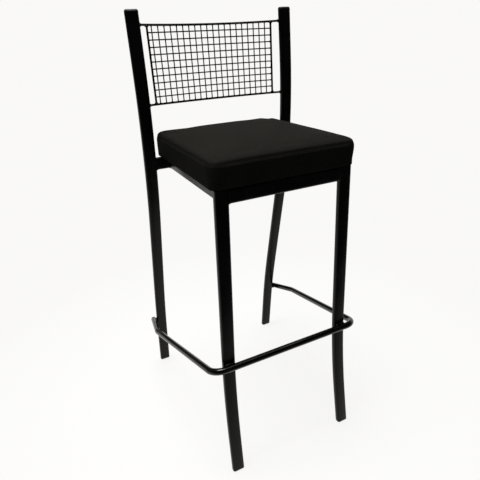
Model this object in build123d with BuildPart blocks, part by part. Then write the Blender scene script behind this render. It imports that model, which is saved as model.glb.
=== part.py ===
from build123d import *
import os
from math import atan2, cos, degrees, radians, sin

# A bar stool: a welded frame of flat-sided steel tube with a bent round footrest, a back of welded wire
# mesh between two tall posts, and a boxed cushion bolted to brackets inside the seat frame.
# Millimetres. The origin is on the floor, midway between the feet. +Z is up, the front faces -Y.

# Frame tube, its wide face to the front on the legs and upright on the rails
tube_width = 30.0
tube_depth = 15.0
tube_corner = 5.0
tube_corner_chords = 3
tube_wall = 1.5

# Feet on the floor against the cushion: how much further apart they stand from front to back than it is
# deep, and how much closer the front pair and further apart the back pair stand than it is wide
feet_beyond_seat_depth = 145.0
front_feet_within_seat = 13.0
back_feet_beyond_seat = 61.0

# Leg angles in degrees: feet swept outwards, back legs raked, posts leaning back, all drawn in upwards
foot_sweep = 8.3
back_rake = 13.7
post_lean = 3.0
front_splay = 1.2
back_splay = 0.33

# Straight stretches and bend radii of the legs' centre lines
front_foot_straight = 99.0
front_bend_radius = 1800.0
back_foot_straight = 125.0
back_bend_radius = 1860.0
back_rake_straight = 254.0
post_bend_radius = 1390.0

# Seat frame
seat_rail_top = 723.5
side_rail_offset = 2.0

# Cushion: cover, foam and board
seat_width = 335.0
seat_depth = 354.0
seat_thickness = 60.0
seat_setback = 0.5
seat_shift = 1.5
seat_crown = 5.0
seat_draw_in = 1.5
seat_top_round = 12.0
seat_top_round_steps = 3
seat_corner_beyond_round = 6.0
seat_bottom_cut = 2.0
cover_thickness = 1.2
cover_lip = 25.0
foam_clearance = 0.2
board_thickness = 12.0

# Wire back
back_gap = 66.0
back_panel_height = 170.0
post_above_panel = 30.0
back_bow = 15.0
top_wire_sag = 3.0
panel_shift = -3.0
frame_wire = 5.0
frame_wire_sides = 12
end_wire_margin = 20.1
mesh_wire = 2.8
mesh_pitch = 15.2
mesh_shift = -3.4
mesh_sides = 6

# Footrest: a round tube in a plane that falls towards the rear
footrest_tube = 16.0
footrest_wall = 1.5
footrest_sides = 16
footrest_bore_sides = 8
footrest_height = 308.0
footrest_fall = 16.1
footrest_beyond_feet = 73.0
footrest_rear_run = 103.0
footrest_overhang = 20.0
footrest_front_bend = 32.0
footrest_rear_bend = 40.0

# Push-in plugs: feet, post caps and footrest ends
foot_head = 6.0
foot_chamfer = 2.8
cap_head = 5.0
cap_chamfer = 2.6
plug_stem = 18.0
plug_clearance = 0.2
end_head = 3.0
end_chamfer = 2.0

# Brackets and fasteners under the seat, whose round outlines are polygons
fastener_sides = 12
bracket_leg = 25.0
bracket_length = 30.0
bracket_thickness = 3.0
bracket_spacing = 200.0
bolt_diameter = 6.0
bolt_hole_clearance = 0.6
bolt_length = 14.0
bolt_head_diameter = 11.0
bolt_head_height = 4.0
bolt_socket = 4.0
bolt_socket_sides = 6
bolt_socket_depth = 2.2
washer_diameter = 14.0
washer_thickness = 1.2
tee_flange_diameter = 17.0
tee_flange_thickness = 1.5
tee_barrel_diameter = 8.0
tee_barrel_length = 9.0
tee_clearance = 0.2

# Gap left at a welded contact with a round surface, and spare length that level cuts take off the legs
weld_gap = 0.3
cut_spare = 300.0

sides = {"left": -1, "right": 1}
foot_spacing_deep = seat_depth + feet_beyond_seat_depth
front_foot_spacing = seat_width - front_feet_within_seat
back_foot_spacing = seat_width + back_feet_beyond_seat
seat_bottom = seat_rail_top
seat_top = seat_bottom + seat_thickness
bottom_wire_height = seat_top + back_gap
top_wire_height = bottom_wire_height + back_panel_height
total_height = top_wire_height + post_above_panel
rail_middle = seat_rail_top - tube_width / 2
seat_corner = seat_top_round + seat_corner_beyond_round
os.makedirs("parts", exist_ok=True)


def save(piece, name):
    """Names a finished piece and writes it to its own file."""
    piece.label = name
    export_step(piece, f"parts/{name}.step")


# Centre lines of the legs


def leg_normal(side, splay):
    """Unit normal of the upright plane that a leg is bent in, pointing to +X."""
    return Vector(cos(radians(splay)), 0, side * sin(radians(splay)))


def front_leg_line(side):
    """Centre line of a front leg: swept foot, long bend, then upright in side view."""
    foot = (side * front_foot_spacing / 2, -foot_spacing_deep / 2, 0)
    start = (-cut_spare * sin(radians(foot_sweep)), -cut_spare * cos(radians(foot_sweep)))
    with BuildLine(Plane(foot, x_dir=(0, 1, 0), z_dir=leg_normal(side, front_splay))) as line:
        swept = PolarLine(start, cut_spare + front_foot_straight, 90 - foot_sweep)
        bend = JernArc(swept @ 1, swept % 1, front_bend_radius, foot_sweep)
        Line(bend @ 1, bend @ 1 + (bend % 1) * (seat_rail_top + cut_spare))
    return line.wire()


def back_leg_line(side):
    """Centre line of a back leg and its post: swept foot, raked leg, then a long bend to the leaning post."""
    foot = (side * back_foot_spacing / 2, foot_spacing_deep / 2, 0)
    start = (cut_spare * sin(radians(foot_sweep)), -cut_spare * cos(radians(foot_sweep)))
    with BuildLine(Plane(foot, x_dir=(0, 1, 0), z_dir=leg_normal(side, back_splay))) as line:
        swept = PolarLine(start, cut_spare + back_foot_straight, 90 + foot_sweep)
        bend = JernArc(swept @ 1, swept % 1, back_bend_radius, back_rake - foot_sweep)
        raked = Line(bend @ 1, bend @ 1 + (bend % 1) * back_rake_straight)
        post_bend = JernArc(raked @ 1, raked % 1, post_bend_radius, -(back_rake + post_lean))
        Line(post_bend @ 1, post_bend @ 1 + (post_bend % 1) * cut_spare)
    return line.wire()


def crossing(line, plane, halvings=50):
    """Point and upward direction where a leg's centre line passes through a plane."""
    low, high = 0.0, 1.0
    first_side = plane.to_local_coords(line @ low).Z
    for _ in range(halvings):
        middle = (low + high) / 2
        if plane.to_local_coords(line @ middle).Z * first_side > 0:
            low = middle
        else:
            high = middle
    heading = line % low
    return line @ low, heading if heading.Z > 0 else heading * -1


def level(height):
    """Horizontal plane at a height above the floor."""
    return Plane.XY.offset(height)


front_line = {name: front_leg_line(side) for name, side in sides.items()}
back_line = {name: back_leg_line(side) for name, side in sides.items()}
front_normal = {name: leg_normal(side, front_splay) for name, side in sides.items()}
back_normal = {name: leg_normal(side, back_splay) for name, side in sides.items()}


def inner_face(name, line, normal, height):
    """Plane of a leg's inner side, facing the middle of the stool."""
    inward = normal * -sides[name]
    return Plane(crossing(line, level(height))[0] + inward * (tube_width / 2), z_dir=inward)


# Legs


def tube_outline(width, depth):
    """Points round the tube's outside, its rounded corners in short chords."""
    points = []
    for quarter, (across, along) in enumerate(((1, 1), (-1, 1), (-1, -1), (1, -1))):
        for step in range(tube_corner_chords + 1):
            turn = radians(90 * (quarter + step / tube_corner_chords))
            x = across * (width / 2 - tube_corner) + tube_corner * cos(turn)
            y = along * (depth / 2 - tube_corner) + tube_corner * sin(turn)
            points.append((x, y))
    return points


def bore_outline(width, depth, inset):
    """Points round the tube's inside, or what fits in it: a rectangle set in, its corners cut off."""
    x, y = width / 2 - inset, depth / 2 - inset
    cut = tube_corner - tube_wall
    quarter = [(x, y - cut), (x - cut, y)]
    upper = quarter + [(-px, py) for px, py in reversed(quarter)]
    return upper + [(px, -py) for px, py in reversed(upper)]


def tube_profile(width, depth):
    """Section of the frame tube, drawn in the sketch that calls it."""
    Polygon(*tube_outline(width, depth), align=None)
    Polygon(*bore_outline(width, depth, tube_wall), align=None, mode=Mode.SUBTRACT)


def bent_leg(line, normal, top):
    """A leg bent from the frame tube, cut level at its foot and at its top."""
    with BuildPart() as leg:
        with BuildSketch(Plane(line @ 0, x_dir=normal, z_dir=line % 0)):
            tube_profile(tube_width, tube_depth)
        sweep(path=line)
        split(bisect_by=level(foot_head), keep=Keep.TOP)
        split(bisect_by=level(top), keep=Keep.BOTTOM)
    return leg.part


for name in sides:
    save(bent_leg(front_line[name], front_normal[name], seat_rail_top), f"front_leg_{name}")
    save(bent_leg(back_line[name], back_normal[name], total_height - cap_head), f"back_leg_{name}")


# Push-in plugs that close the legs


def tube_plug(line, normal, inside, tip, edge_cut):
    """A plug whose head carries the tube's outline on from the level cut at inside to tip."""
    outwards = 1 if tip > inside else -1
    centre, heading = crossing(line, level(inside))
    length = abs(tip - inside) / heading.Z
    with BuildPart() as plug:
        with BuildSketch(Plane(centre)):
            Polygon(*tube_outline(tube_width, tube_depth / heading.Z), align=None)
        extrude(amount=length, dir=heading * outwards)
        chamfer(plug.edges().group_by(Axis.Z)[-1 if outwards > 0 else 0], length=edge_cut)
        root = Plane(centre + heading * (outwards * length / 2), x_dir=normal, z_dir=heading * outwards)
        with BuildSketch(root):
            Polygon(*bore_outline(tube_width, tube_depth, tube_wall + plug_clearance), align=None)
        extrude(amount=-(length / 2 + plug_stem))
    return plug.part


for name in sides:
    save(tube_plug(front_line[name], front_normal[name], foot_head, 0, foot_chamfer), f"foot_front_{name}")
    save(tube_plug(back_line[name], back_normal[name], foot_head, 0, foot_chamfer), f"foot_back_{name}")
    post_cut = total_height - cap_head
    cap = tube_plug(back_line[name], back_normal[name], post_cut, total_height, cap_chamfer)
    save(cap, f"post_cap_{name}")


# Seat frame: cross rails butt against the legs' inner sides, side rails run between leg and rear rail


def cross_rail(line, normal):
    """A rail across the stool, trimmed to the inner sides of a pair of legs."""
    centre = crossing(line["right"], level(rail_middle))[0]
    with BuildPart() as rail:
        with BuildSketch(Plane((0, centre.Y, rail_middle), x_dir=(0, 1, 0), z_dir=(1, 0, 0))):
            tube_profile(tube_depth, tube_width)
        extrude(amount=centre.X, both=True)
        for name in sides:
            split(bisect_by=inner_face(name, line[name], normal[name], rail_middle), keep=Keep.TOP)
    return rail.part


save(cross_rail(front_line, front_normal), "seat_front_rail")
save(cross_rail(back_line, back_normal), "seat_rear_rail")

front_post = crossing(front_line["right"], level(rail_middle))[0]
rear_post = crossing(back_line["right"], level(rail_middle))[0]
side_rail_front = front_post.Y + tube_depth / 2
side_rail_back = rear_post.Y - tube_depth / 2
side_rail_inner = front_post.X - tube_width / 2 + side_rail_offset
side_rail_x = side_rail_inner + tube_depth / 2

for name, side in sides.items():
    with BuildPart() as side_rail:
        front_end = (side * side_rail_x, side_rail_front, rail_middle)
        with BuildSketch(Plane(front_end, x_dir=(1, 0, 0), z_dir=(0, 1, 0))):
            tube_profile(tube_depth, tube_width)
        extrude(amount=side_rail_back - side_rail_front)
    save(side_rail.part, f"seat_side_rail_{name}")


# Footrest: one bent tube, in front of the front legs and along the outside of the back legs

footrest_radius = footrest_tube / 2
front_bar = crossing(front_line["right"], level(footrest_height))[0]
front_bar_y = front_bar.Y - tube_depth / 2 - footrest_radius - weld_gap
fall = radians(footrest_fall)
footrest_plane = Plane((0, front_bar_y, footrest_height), x_dir=(1, 0, 0), z_dir=(0, sin(fall), cos(fall)))
rear_weld = footrest_plane.to_local_coords(crossing(back_line["right"], footrest_plane)[0])
rear_weld_x = rear_weld.X + tube_width / 2 + footrest_radius + 2 * weld_gap
rear_bend_x = (back_foot_spacing + footrest_beyond_feet) / 2
draw_in = (rear_bend_x - rear_weld_x) / footrest_rear_run
rear_bend = (rear_bend_x, rear_weld.Y - footrest_rear_run)
rear_end = (rear_weld_x - draw_in * footrest_overhang, rear_weld.Y + footrest_overhang)
front_corner = (front_bar.X + tube_width / 2 - tube_corner + footrest_front_bend, 0)
half_route = [front_corner, rear_bend, rear_end]
route = [(-x, y) for x, y in reversed(half_route)] + half_route
bends = [footrest_rear_bend, footrest_front_bend, footrest_front_bend, footrest_rear_bend]

with BuildLine(footrest_plane) as footrest_line:
    FilletPolyline(*route, radius=bends)
footrest_wire = footrest_line.wire()

footrest_bore = footrest_radius - footrest_wall
across_footrest = footrest_plane.z_dir

with BuildPart() as footrest:
    with BuildSketch(Plane(footrest_wire @ 0, x_dir=across_footrest, z_dir=footrest_wire % 0)):
        RegularPolygon(footrest_radius, footrest_sides)
        RegularPolygon(footrest_bore, footrest_bore_sides, mode=Mode.SUBTRACT)
    sweep(path=footrest_wire)
save(footrest.part, "footrest")

left_end = Plane(footrest_wire @ 0, x_dir=across_footrest, z_dir=(footrest_wire % 0) * -1)
right_end = Plane(footrest_wire @ 1, x_dir=across_footrest, z_dir=footrest_wire % 1)
for name, end in (("left", left_end), ("right", right_end)):
    with BuildPart() as footrest_plug:
        with BuildSketch(end):
            RegularPolygon(footrest_radius, footrest_sides)
        extrude(amount=end_head)
        tip = footrest_plug.faces().sort_by(Axis(end.origin, end.z_dir))[-1]
        chamfer(tip.edges(), length=end_chamfer)
        with BuildSketch(end):
            RegularPolygon(footrest_bore - plug_clearance, footrest_bore_sides)
        extrude(amount=-plug_stem)
    save(footrest_plug.part, f"footrest_plug_{name}")


# Wire back: two heavy wires bowed between the posts, two upright end wires and the mesh between them

wire_radius = frame_wire / 2
mesh_radius = mesh_wire / 2
wire_heights = {"bottom": bottom_wire_height, "top": top_wire_height}
wire_ends = {key: crossing(back_line["right"], level(height))[0] for key, height in wire_heights.items()}
end_wire_spacing = 2 * (wire_ends["bottom"].X - tube_width / 2 - end_wire_margin)
mesh_columns = int((end_wire_spacing - frame_wire - mesh_wire) / mesh_pitch)
mesh_rows = int((back_panel_height - frame_wire - mesh_wire) / mesh_pitch)


def belly(x):
    """How far a wire has bellied out at x: none at the posts and 1 in the middle."""
    return 1 - (x / wire_ends["bottom"].X) ** 2


def panel_point(x, height, behind=0.0):
    """Point of the bowed back panel at a distance from the middle and a height, set back by behind."""
    share = (height - bottom_wire_height) / back_panel_height
    post = wire_ends["bottom"] + (wire_ends["top"] - wire_ends["bottom"]) * share
    return Vector(x, post.Y + back_bow * belly(x) + behind, height)


for key, height in wire_heights.items():
    reach = wire_ends["bottom"].X
    sag = top_wire_sag if key == "top" else 0
    with BuildLine() as bow:
        ThreePointArc(panel_point(-reach, height), panel_point(0, height - sag), panel_point(reach, height))
    bow_wire = bow.wire()
    with BuildPart() as heavy_wire:
        with BuildSketch(Plane(bow_wire @ 0, x_dir=(0, 0, 1), z_dir=bow_wire % 0)):
            RegularPolygon(wire_radius, frame_wire_sides)
        sweep(path=bow_wire)
        for name in sides:
            split(bisect_by=inner_face(name, back_line[name], back_normal[name], height), keep=Keep.TOP)
    save(heavy_wire.part, f"backrest_{key}_wire")

wire_low = bottom_wire_height + wire_radius + weld_gap
wire_high = top_wire_height - wire_radius - weld_gap


def upright_wire(x, behind=0.0):
    """Line of an upright wire between the two heavy wires."""
    high = wire_high - top_wire_sag * belly(x)
    return Edge.make_line(panel_point(x, wire_low, behind), panel_point(x, high, behind))


for name, side in sides.items():
    end_line = upright_wire(panel_shift + side * end_wire_spacing / 2)
    with BuildPart() as end_wire:
        with BuildSketch(Plane(end_line @ 0, z_dir=end_line % 0)):
            RegularPolygon(wire_radius, frame_wire_sides)
        extrude(amount=end_line.length)
    save(end_wire.part, f"backrest_end_wire_{name}")

mesh_offset = mesh_radius * cos(radians(180 / mesh_sides)) + weld_gap / 2
first_column = panel_shift + mesh_shift - mesh_pitch * (mesh_columns - 1) / 2
with BuildPart() as mesh_vertical_wires:
    for column in range(mesh_columns):
        column_line = upright_wire(first_column + column * mesh_pitch, -mesh_offset)
        with BuildSketch(Plane(column_line @ 0, z_dir=column_line % 0)):
            RegularPolygon(mesh_radius, mesh_sides)
        extrude(amount=column_line.length)
save(mesh_vertical_wires.part, "mesh_vertical_wires")

row_reach = end_wire_spacing / 2 - wire_radius - weld_gap
first_row = bottom_wire_height + (back_panel_height - mesh_pitch * (mesh_rows - 1)) / 2
with BuildPart() as mesh_horizontal_wires:
    for row in range(mesh_rows):
        row_height = first_row + row * mesh_pitch
        with BuildLine() as row_line:
            stops = (panel_shift - row_reach, panel_shift, panel_shift + row_reach)
            ThreePointArc(*[panel_point(x, row_height, mesh_offset) for x in stops])
        row_wire = row_line.wire()
        with BuildSketch(Plane(row_wire @ 0, x_dir=(0, 0, 1), z_dir=row_wire % 0)):
            RegularPolygon(mesh_radius, mesh_sides)
        sweep(path=row_wire)
save(mesh_horizontal_wires.part, "mesh_horizontal_wires")


# Cushion: a boxed form with a crowned top, sides drawn in between the corners and rounded edges

seat_front = front_post.Y - tube_depth / 2 + seat_setback
seat_middle = seat_front + seat_depth / 2
board_bottom = seat_bottom + cover_thickness
board_top = board_bottom + board_thickness


def seat_plan(height, inset, corner):
    """Plan of the cushion at a height, inset all round, its sides drawn in between rounded corners."""
    x, y = seat_width / 2 - inset, seat_depth / 2 - inset
    with BuildSketch(Plane((seat_shift, seat_middle, height))) as plan:
        with BuildLine():
            ThreePointArc((-x, -y), (0, seat_draw_in - y), (x, -y))
            ThreePointArc((x, -y), (x - seat_draw_in, 0), (x, y))
            ThreePointArc((x, y), (0, y - seat_draw_in), (-x, y))
            ThreePointArc((-x, y), (seat_draw_in - x, 0), (-x, -y))
        make_face()
        fillet(plan.vertices(), radius=corner)
    return plan.sketch


def crown_arch(plane, half_span):
    """Upright section of the crown on a plane through its foot."""
    with BuildSketch(plane) as section:
        with BuildLine():
            arch = ThreePointArc((-half_span, 0), (0, seat_crown), (half_span, 0))
            Line(arch @ 1, arch @ 0)
        make_face()
    return section.sketch


def cushion_form(inset, bottom):
    """Solid of the cushion's outside moved inwards by inset: upright sides, rounded top edge, crowned top."""
    crown_foot = Vector(seat_shift, seat_middle, seat_top - inset)
    crown_x = seat_width / 2 - seat_corner - seat_draw_in
    crown_y = seat_depth / 2 - seat_corner - seat_draw_in
    across = Plane(crown_foot, x_dir=(1, 0, 0), z_dir=(0, -1, 0))
    along = Plane(crown_foot, x_dir=(0, 1, 0), z_dir=(1, 0, 0))
    with BuildPart() as crown:
        extrude(crown_arch(across, crown_x), amount=crown_y, both=True)
        extrude(crown_arch(along, crown_y), amount=crown_x, both=True, mode=Mode.INTERSECT)
    edge_radius = seat_top_round - inset
    with BuildPart() as form:
        extrude(seat_plan(bottom, inset, seat_corner - inset), amount=seat_top - seat_top_round - bottom)
        for step in range(seat_top_round_steps):
            low, high = [radians(90 * end / seat_top_round_steps) for end in (step, step + 1)]
            rise = edge_radius * (sin(high) - sin(low))
            run = edge_radius * (cos(low) - cos(high))
            extrude(form.faces().sort_by(Axis.Z)[-1], amount=rise, taper=degrees(atan2(run, rise)))
        add(crown.part)
    return form.part


with BuildPart() as seat_cover:
    add(cushion_form(0, seat_bottom))
    chamfer(seat_cover.edges().group_by(Axis.Z)[0], length=seat_bottom_cut)
    add(cushion_form(cover_thickness, board_bottom), mode=Mode.SUBTRACT)
    extrude(seat_plan(seat_bottom, cover_lip, seat_corner), amount=cover_thickness, mode=Mode.SUBTRACT)
save(seat_cover.part, "seat_cover")
save(cushion_form(cover_thickness + foam_clearance, board_top), "seat_foam")


# Brackets on the side rails' inner faces and the bolts that hold the board down on them

bolt_x = side_rail_inner - bracket_leg / 2
bolt_places = {
    f"{end}_{name}": Vector(side * bolt_x, seat_middle + way * bracket_spacing / 2)
    for name, side in sides.items()
    for end, way in (("front", -1), ("back", 1))
}
bolt_points = [(place.X, place.Y) for place in bolt_places.values()]
bolt_hole = bolt_diameter + bolt_hole_clearance
bracket_bottom = board_bottom - bracket_thickness
washer_bottom = bracket_bottom - washer_thickness

for name, place in bolt_places.items():
    side = 1 if place.X > 0 else -1
    with BuildPart() as bracket:
        corner = (side * side_rail_inner, place.Y, board_bottom)
        with BuildSketch(Plane(corner, x_dir=(-side, 0, 0), z_dir=(0, side, 0))):
            with BuildLine():
                Polyline(
                    (0, 0),
                    (bracket_leg, 0),
                    (bracket_leg, -bracket_thickness),
                    (bracket_thickness, -bracket_thickness),
                    (bracket_thickness, -bracket_leg),
                    (0, -bracket_leg),
                    close=True,
                )
            make_face()
        extrude(amount=bracket_length / 2, both=True)
        with BuildSketch(level(bracket_bottom)):
            with Locations((place.X, place.Y)):
                RegularPolygon(bolt_hole / 2, fastener_sides)
        extrude(amount=bracket_thickness, mode=Mode.SUBTRACT)
    save(bracket.part, f"seat_bracket_{name}")

with BuildPart() as seat_board:
    extrude(seat_plan(board_bottom, cover_thickness + foam_clearance, seat_corner), amount=board_thickness)
    with BuildSketch(level(board_bottom)):
        with Locations(bolt_points):
            RegularPolygon(tee_barrel_diameter / 2 + tee_clearance, fastener_sides)
    extrude(amount=board_thickness, mode=Mode.SUBTRACT)
    with BuildSketch(level(board_top)):
        with Locations(bolt_points):
            RegularPolygon(tee_flange_diameter / 2 + tee_clearance, fastener_sides)
    extrude(amount=-tee_flange_thickness, mode=Mode.SUBTRACT)
save(seat_board.part, "seat_board")

with BuildPart() as seat_tee_nuts:
    with BuildSketch(level(board_top)):
        with Locations(bolt_points):
            RegularPolygon(tee_flange_diameter / 2, fastener_sides)
    extrude(amount=-tee_flange_thickness)
    with BuildSketch(level(board_top - tee_flange_thickness)):
        with Locations(bolt_points):
            RegularPolygon(tee_barrel_diameter / 2, fastener_sides)
    extrude(amount=-tee_barrel_length)
    with BuildSketch(level(board_top)):
        with Locations(bolt_points):
            RegularPolygon(bolt_diameter / 2 + tee_clearance, fastener_sides)
    extrude(amount=-board_thickness, mode=Mode.SUBTRACT)
save(seat_tee_nuts.part, "seat_tee_nuts")

with BuildPart() as seat_washers:
    with BuildSketch(level(bracket_bottom)):
        with Locations(bolt_points):
            RegularPolygon(washer_diameter / 2, fastener_sides)
            RegularPolygon(bolt_hole / 2, fastener_sides, mode=Mode.SUBTRACT)
    extrude(amount=-washer_thickness)
save(seat_washers.part, "seat_washers")

with BuildPart() as seat_bolts:
    with BuildSketch(level(washer_bottom)):
        with Locations(bolt_points):
            RegularPolygon(bolt_head_diameter / 2, fastener_sides)
    extrude(amount=-bolt_head_height)
    with BuildSketch(level(washer_bottom - bolt_head_height)):
        with Locations(bolt_points):
            RegularPolygon(bolt_socket / 2, bolt_socket_sides)
    extrude(amount=bolt_socket_depth, mode=Mode.SUBTRACT)
    with BuildSketch(level(washer_bottom)):
        with Locations(bolt_points):
            RegularPolygon(bolt_diameter / 2, fastener_sides)
    extrude(amount=bolt_length)
save(seat_bolts.part, "seat_bolts")
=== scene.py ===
import bpy
import bmesh
from math import cos, exp, pi, radians, sin
from mathutils import Matrix, Vector
from mathutils.bvhtree import BVHTree


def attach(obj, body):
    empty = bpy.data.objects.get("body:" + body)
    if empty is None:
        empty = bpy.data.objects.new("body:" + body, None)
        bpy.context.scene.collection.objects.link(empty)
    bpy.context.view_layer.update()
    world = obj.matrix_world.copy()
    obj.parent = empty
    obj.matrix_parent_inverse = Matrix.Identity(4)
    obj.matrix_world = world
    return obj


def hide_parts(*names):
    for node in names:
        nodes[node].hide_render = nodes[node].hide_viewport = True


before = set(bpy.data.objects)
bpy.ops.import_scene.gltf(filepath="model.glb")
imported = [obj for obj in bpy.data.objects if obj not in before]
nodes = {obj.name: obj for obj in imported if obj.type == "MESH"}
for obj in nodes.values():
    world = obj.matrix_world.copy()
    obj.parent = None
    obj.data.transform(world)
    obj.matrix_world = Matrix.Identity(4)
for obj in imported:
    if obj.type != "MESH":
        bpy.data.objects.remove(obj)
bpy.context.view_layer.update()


# Legs and seat rails: 30 x 15 mm flat-sided steel tube, bent cold, cut and welded into one frame.
# The whole frame is powder coated black, so every tube has the same fine orange peel, dulled in
# patches by hands and shoes and a little paler and browner towards the floor.

def put(tree, kind, sets=None, **settings):
    """Adds a node to a tree, with its settings and with values or links for its inputs."""
    node = tree.nodes.new(kind)
    for setting, value in settings.items():
        setattr(node, setting, value)
    for socket, value in (sets or {}).items():
        if isinstance(value, bpy.types.NodeSocket):
            tree.links.new(value, node.inputs[socket])
        else:
            node.inputs[socket].default_value = value
    return node


def open_group(name, kind, inputs, outputs):
    """A new node group with named sockets, and its input and output nodes."""
    group = bpy.data.node_groups.new(name, kind)
    for label, socket in inputs:
        group.interface.new_socket(label, in_out="INPUT", socket_type=socket)
    for label, socket in outputs:
        group.interface.new_socket(label, in_out="OUTPUT", socket_type=socket)
    return group, put(group, "NodeGroupInput"), put(group, "NodeGroupOutput")


def spread(tree, value, low, high, to_low=0.0, to_high=1.0):
    """The output of a Map Range node, clamped."""
    limits = {"From Min": low, "From Max": high, "To Min": to_low, "To Max": to_high}
    return put(tree, "ShaderNodeMapRange", {"Value": value, **limits}).outputs["Result"]


def mixed(tree, amount, first, second):
    """The colour between two colours by an amount."""
    mix = put(tree, "ShaderNodeMix", {0: amount, 6: first, 7: second}, data_type="RGBA")
    return mix.outputs[2]


coat_skin, skin_in, skin_out = open_group(
    "coat_skin", "ShaderNodeTree",
    [("Vector", "NodeSocketVector"), ("Peel Scale", "NodeSocketFloat"), ("Rub Scale", "NodeSocketFloat")],
    [("Height", "NodeSocketFloat"), ("Tone", "NodeSocketFloat"), ("Rub", "NodeSocketFloat")],
)
where = skin_in.outputs["Vector"]
peel = put(coat_skin, "ShaderNodeTexNoise", {"Vector": where, "Scale": skin_in.outputs["Peel Scale"], "Detail": 2.0})
lumps = put(coat_skin, "ShaderNodeTexNoise", {"Vector": where, "Scale": 60.0, "Detail": 3.0})
height = put(coat_skin, "ShaderNodeMath", {0: lumps.outputs["Fac"], 1: 0.35, 2: peel.outputs["Fac"]},
             operation="MULTIPLY_ADD")
tone = put(coat_skin, "ShaderNodeTexNoise", {"Vector": where, "Scale": 9.0, "Detail": 4.0})
rub = put(coat_skin, "ShaderNodeTexNoise",
          {"Vector": where, "Scale": skin_in.outputs["Rub Scale"], "Detail": 7.0, "Roughness": 0.68})
coat_skin.links.new(height.outputs[0], skin_out.inputs["Height"])
coat_skin.links.new(spread(coat_skin, tone.outputs["Fac"], 0.35, 0.65), skin_out.inputs["Tone"])
coat_skin.links.new(spread(coat_skin, rub.outputs["Fac"], 0.56, 0.74), skin_out.inputs["Rub"])


def open_material(name):
    """A new material, its node tree, its Principled shader and its Object coordinates."""
    material = bpy.data.materials.new(name)
    material.use_nodes = True
    tree = material.node_tree
    return material, tree, tree.nodes["Principled BSDF"], put(tree, "ShaderNodeTexCoord").outputs["Object"]


def powder_coat(name, colour, rubbed, roughness, peel_scale, rub_scale, specular, paling_height, peel_depth=0.22):
    """Black stoved powder coat: peel as bump, patches of tone, rubbed specks, and paler and browner towards the floor.
    """
    material, tree, surface, place = open_material(name)
    skin = put(tree, "ShaderNodeGroup", {}, node_tree=coat_skin)
    tree.links.new(place, skin.inputs["Vector"])
    skin.inputs["Peel Scale"].default_value = peel_scale
    skin.inputs["Rub Scale"].default_value = rub_scale
    upward = put(tree, "ShaderNodeSeparateXYZ", {"Vector": place}).outputs["Z"]
    low_down = spread(tree, upward, 0.0, paling_height, 1.0, 0.0)
    paler = [2.2 * part for part in colour[:3]] + [1.0]
    base = mixed(tree, skin.outputs["Tone"], colour, paler)
    # Paler and browner towards the floor, below the given height.
    paled_low_down = mixed(tree, low_down, base, [0.006, 0.0052, 0.0042, 1.0])
    worn = put(tree, "ShaderNodeMath", {0: skin.outputs["Rub"], 1: 0.6}, operation="MULTIPLY").outputs[0]
    tree.links.new(mixed(tree, worn, paled_low_down, rubbed), surface.inputs["Base Color"])
    dull = put(tree, "ShaderNodeMath", {0: skin.outputs["Rub"], 1: 0.16, 2: roughness}, operation="MULTIPLY_ADD")
    uneven = put(tree, "ShaderNodeMath", {0: skin.outputs["Tone"], 1: 0.07, 2: dull.outputs[0]},
                 operation="MULTIPLY_ADD")
    tree.links.new(uneven.outputs[0], surface.inputs["Roughness"])
    relief = put(tree, "ShaderNodeBump",
                 {"Strength": peel_depth, "Distance": 0.0005, "Height": skin.outputs["Height"]})
    tree.links.new(relief.outputs["Normal"], surface.inputs["Normal"])
    surface.inputs["Specular IOR Level"].default_value = specular
    return material


frame_coat = powder_coat("frame_coat", [0.0014, 0.0014, 0.0014, 1.0], [0.006, 0.0058, 0.0054, 1.0],
                         roughness=0.24, peel_scale=900.0, rub_scale=26.0, specular=0.15, paling_height=0.42,
                         peel_depth=0.12)

round_shading, shading_in, shading_out = open_group(
    "round_shading", "GeometryNodeTree",
    [("Geometry", "NodeSocketGeometry"), ("Crease", "NodeSocketFloat")],
    [("Geometry", "NodeSocketGeometry")],
)
joined = put(round_shading, "GeometryNodeMergeByDistance",
             {"Geometry": shading_in.outputs["Geometry"], "Distance": 0.00002})
fold = put(round_shading, "GeometryNodeInputMeshEdgeAngle").outputs["Unsigned Angle"]
creased = put(round_shading, "FunctionNodeCompare", {0: fold, 1: shading_in.outputs["Crease"]},
              data_type="FLOAT", operation="GREATER_THAN").outputs[0]
smoothed = put(round_shading, "GeometryNodeSetMeshNormal",
               {"Mesh": joined.outputs["Geometry"], "Remove Custom": True, "Edge Sharpness": creased,
                "Face Sharpness": False}, mode="SHARPNESS")
round_shading.links.new(smoothed.outputs["Mesh"], shading_out.inputs["Geometry"])


def set_inputs(modifier, **values):
    """Sets a node modifier's inputs, found by label, through their identifiers."""
    for item in modifier.node_group.interface.items_tree:
        label = item.name.replace(" ", "_").lower()
        if item.in_out == "INPUT" and label in values:
            modifier[item.identifier] = values[label]


def dress(names, material, crease=38.0):
    """Gives CAD nodes their finish, and smooth shading except across creases."""
    for name in names:
        for slot in nodes[name].material_slots:
            slot.material = material
        shading = nodes[name].modifiers.new("round_shading", "NODES")
        shading.node_group = round_shading
        set_inputs(shading, crease=radians(crease))


dress(["front_leg_left", "front_leg_right", "back_leg_left", "back_leg_right"], frame_coat)
dress(["seat_front_rail", "seat_rear_rail", "seat_side_rail_left", "seat_side_rail_right"], frame_coat)


# Welds of the seat frame: a bead runs round the end of each rail where it meets a leg or the rear rail.
# The beads were laid by hand before coating, so they are rippled and have the frame's colour.

def close_group(tree, geometry, group_in, group_out):
    """Ends a geometry node group: instances made real, and the group's material set."""
    real = put(tree, "GeometryNodeRealizeInstances", {"Geometry": geometry})
    coated = put(tree, "GeometryNodeSetMaterial",
                 {"Geometry": real.outputs[0], "Material": group_in.outputs["Material"]})
    tree.links.new(coated.outputs[0], group_out.inputs["Geometry"])


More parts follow.
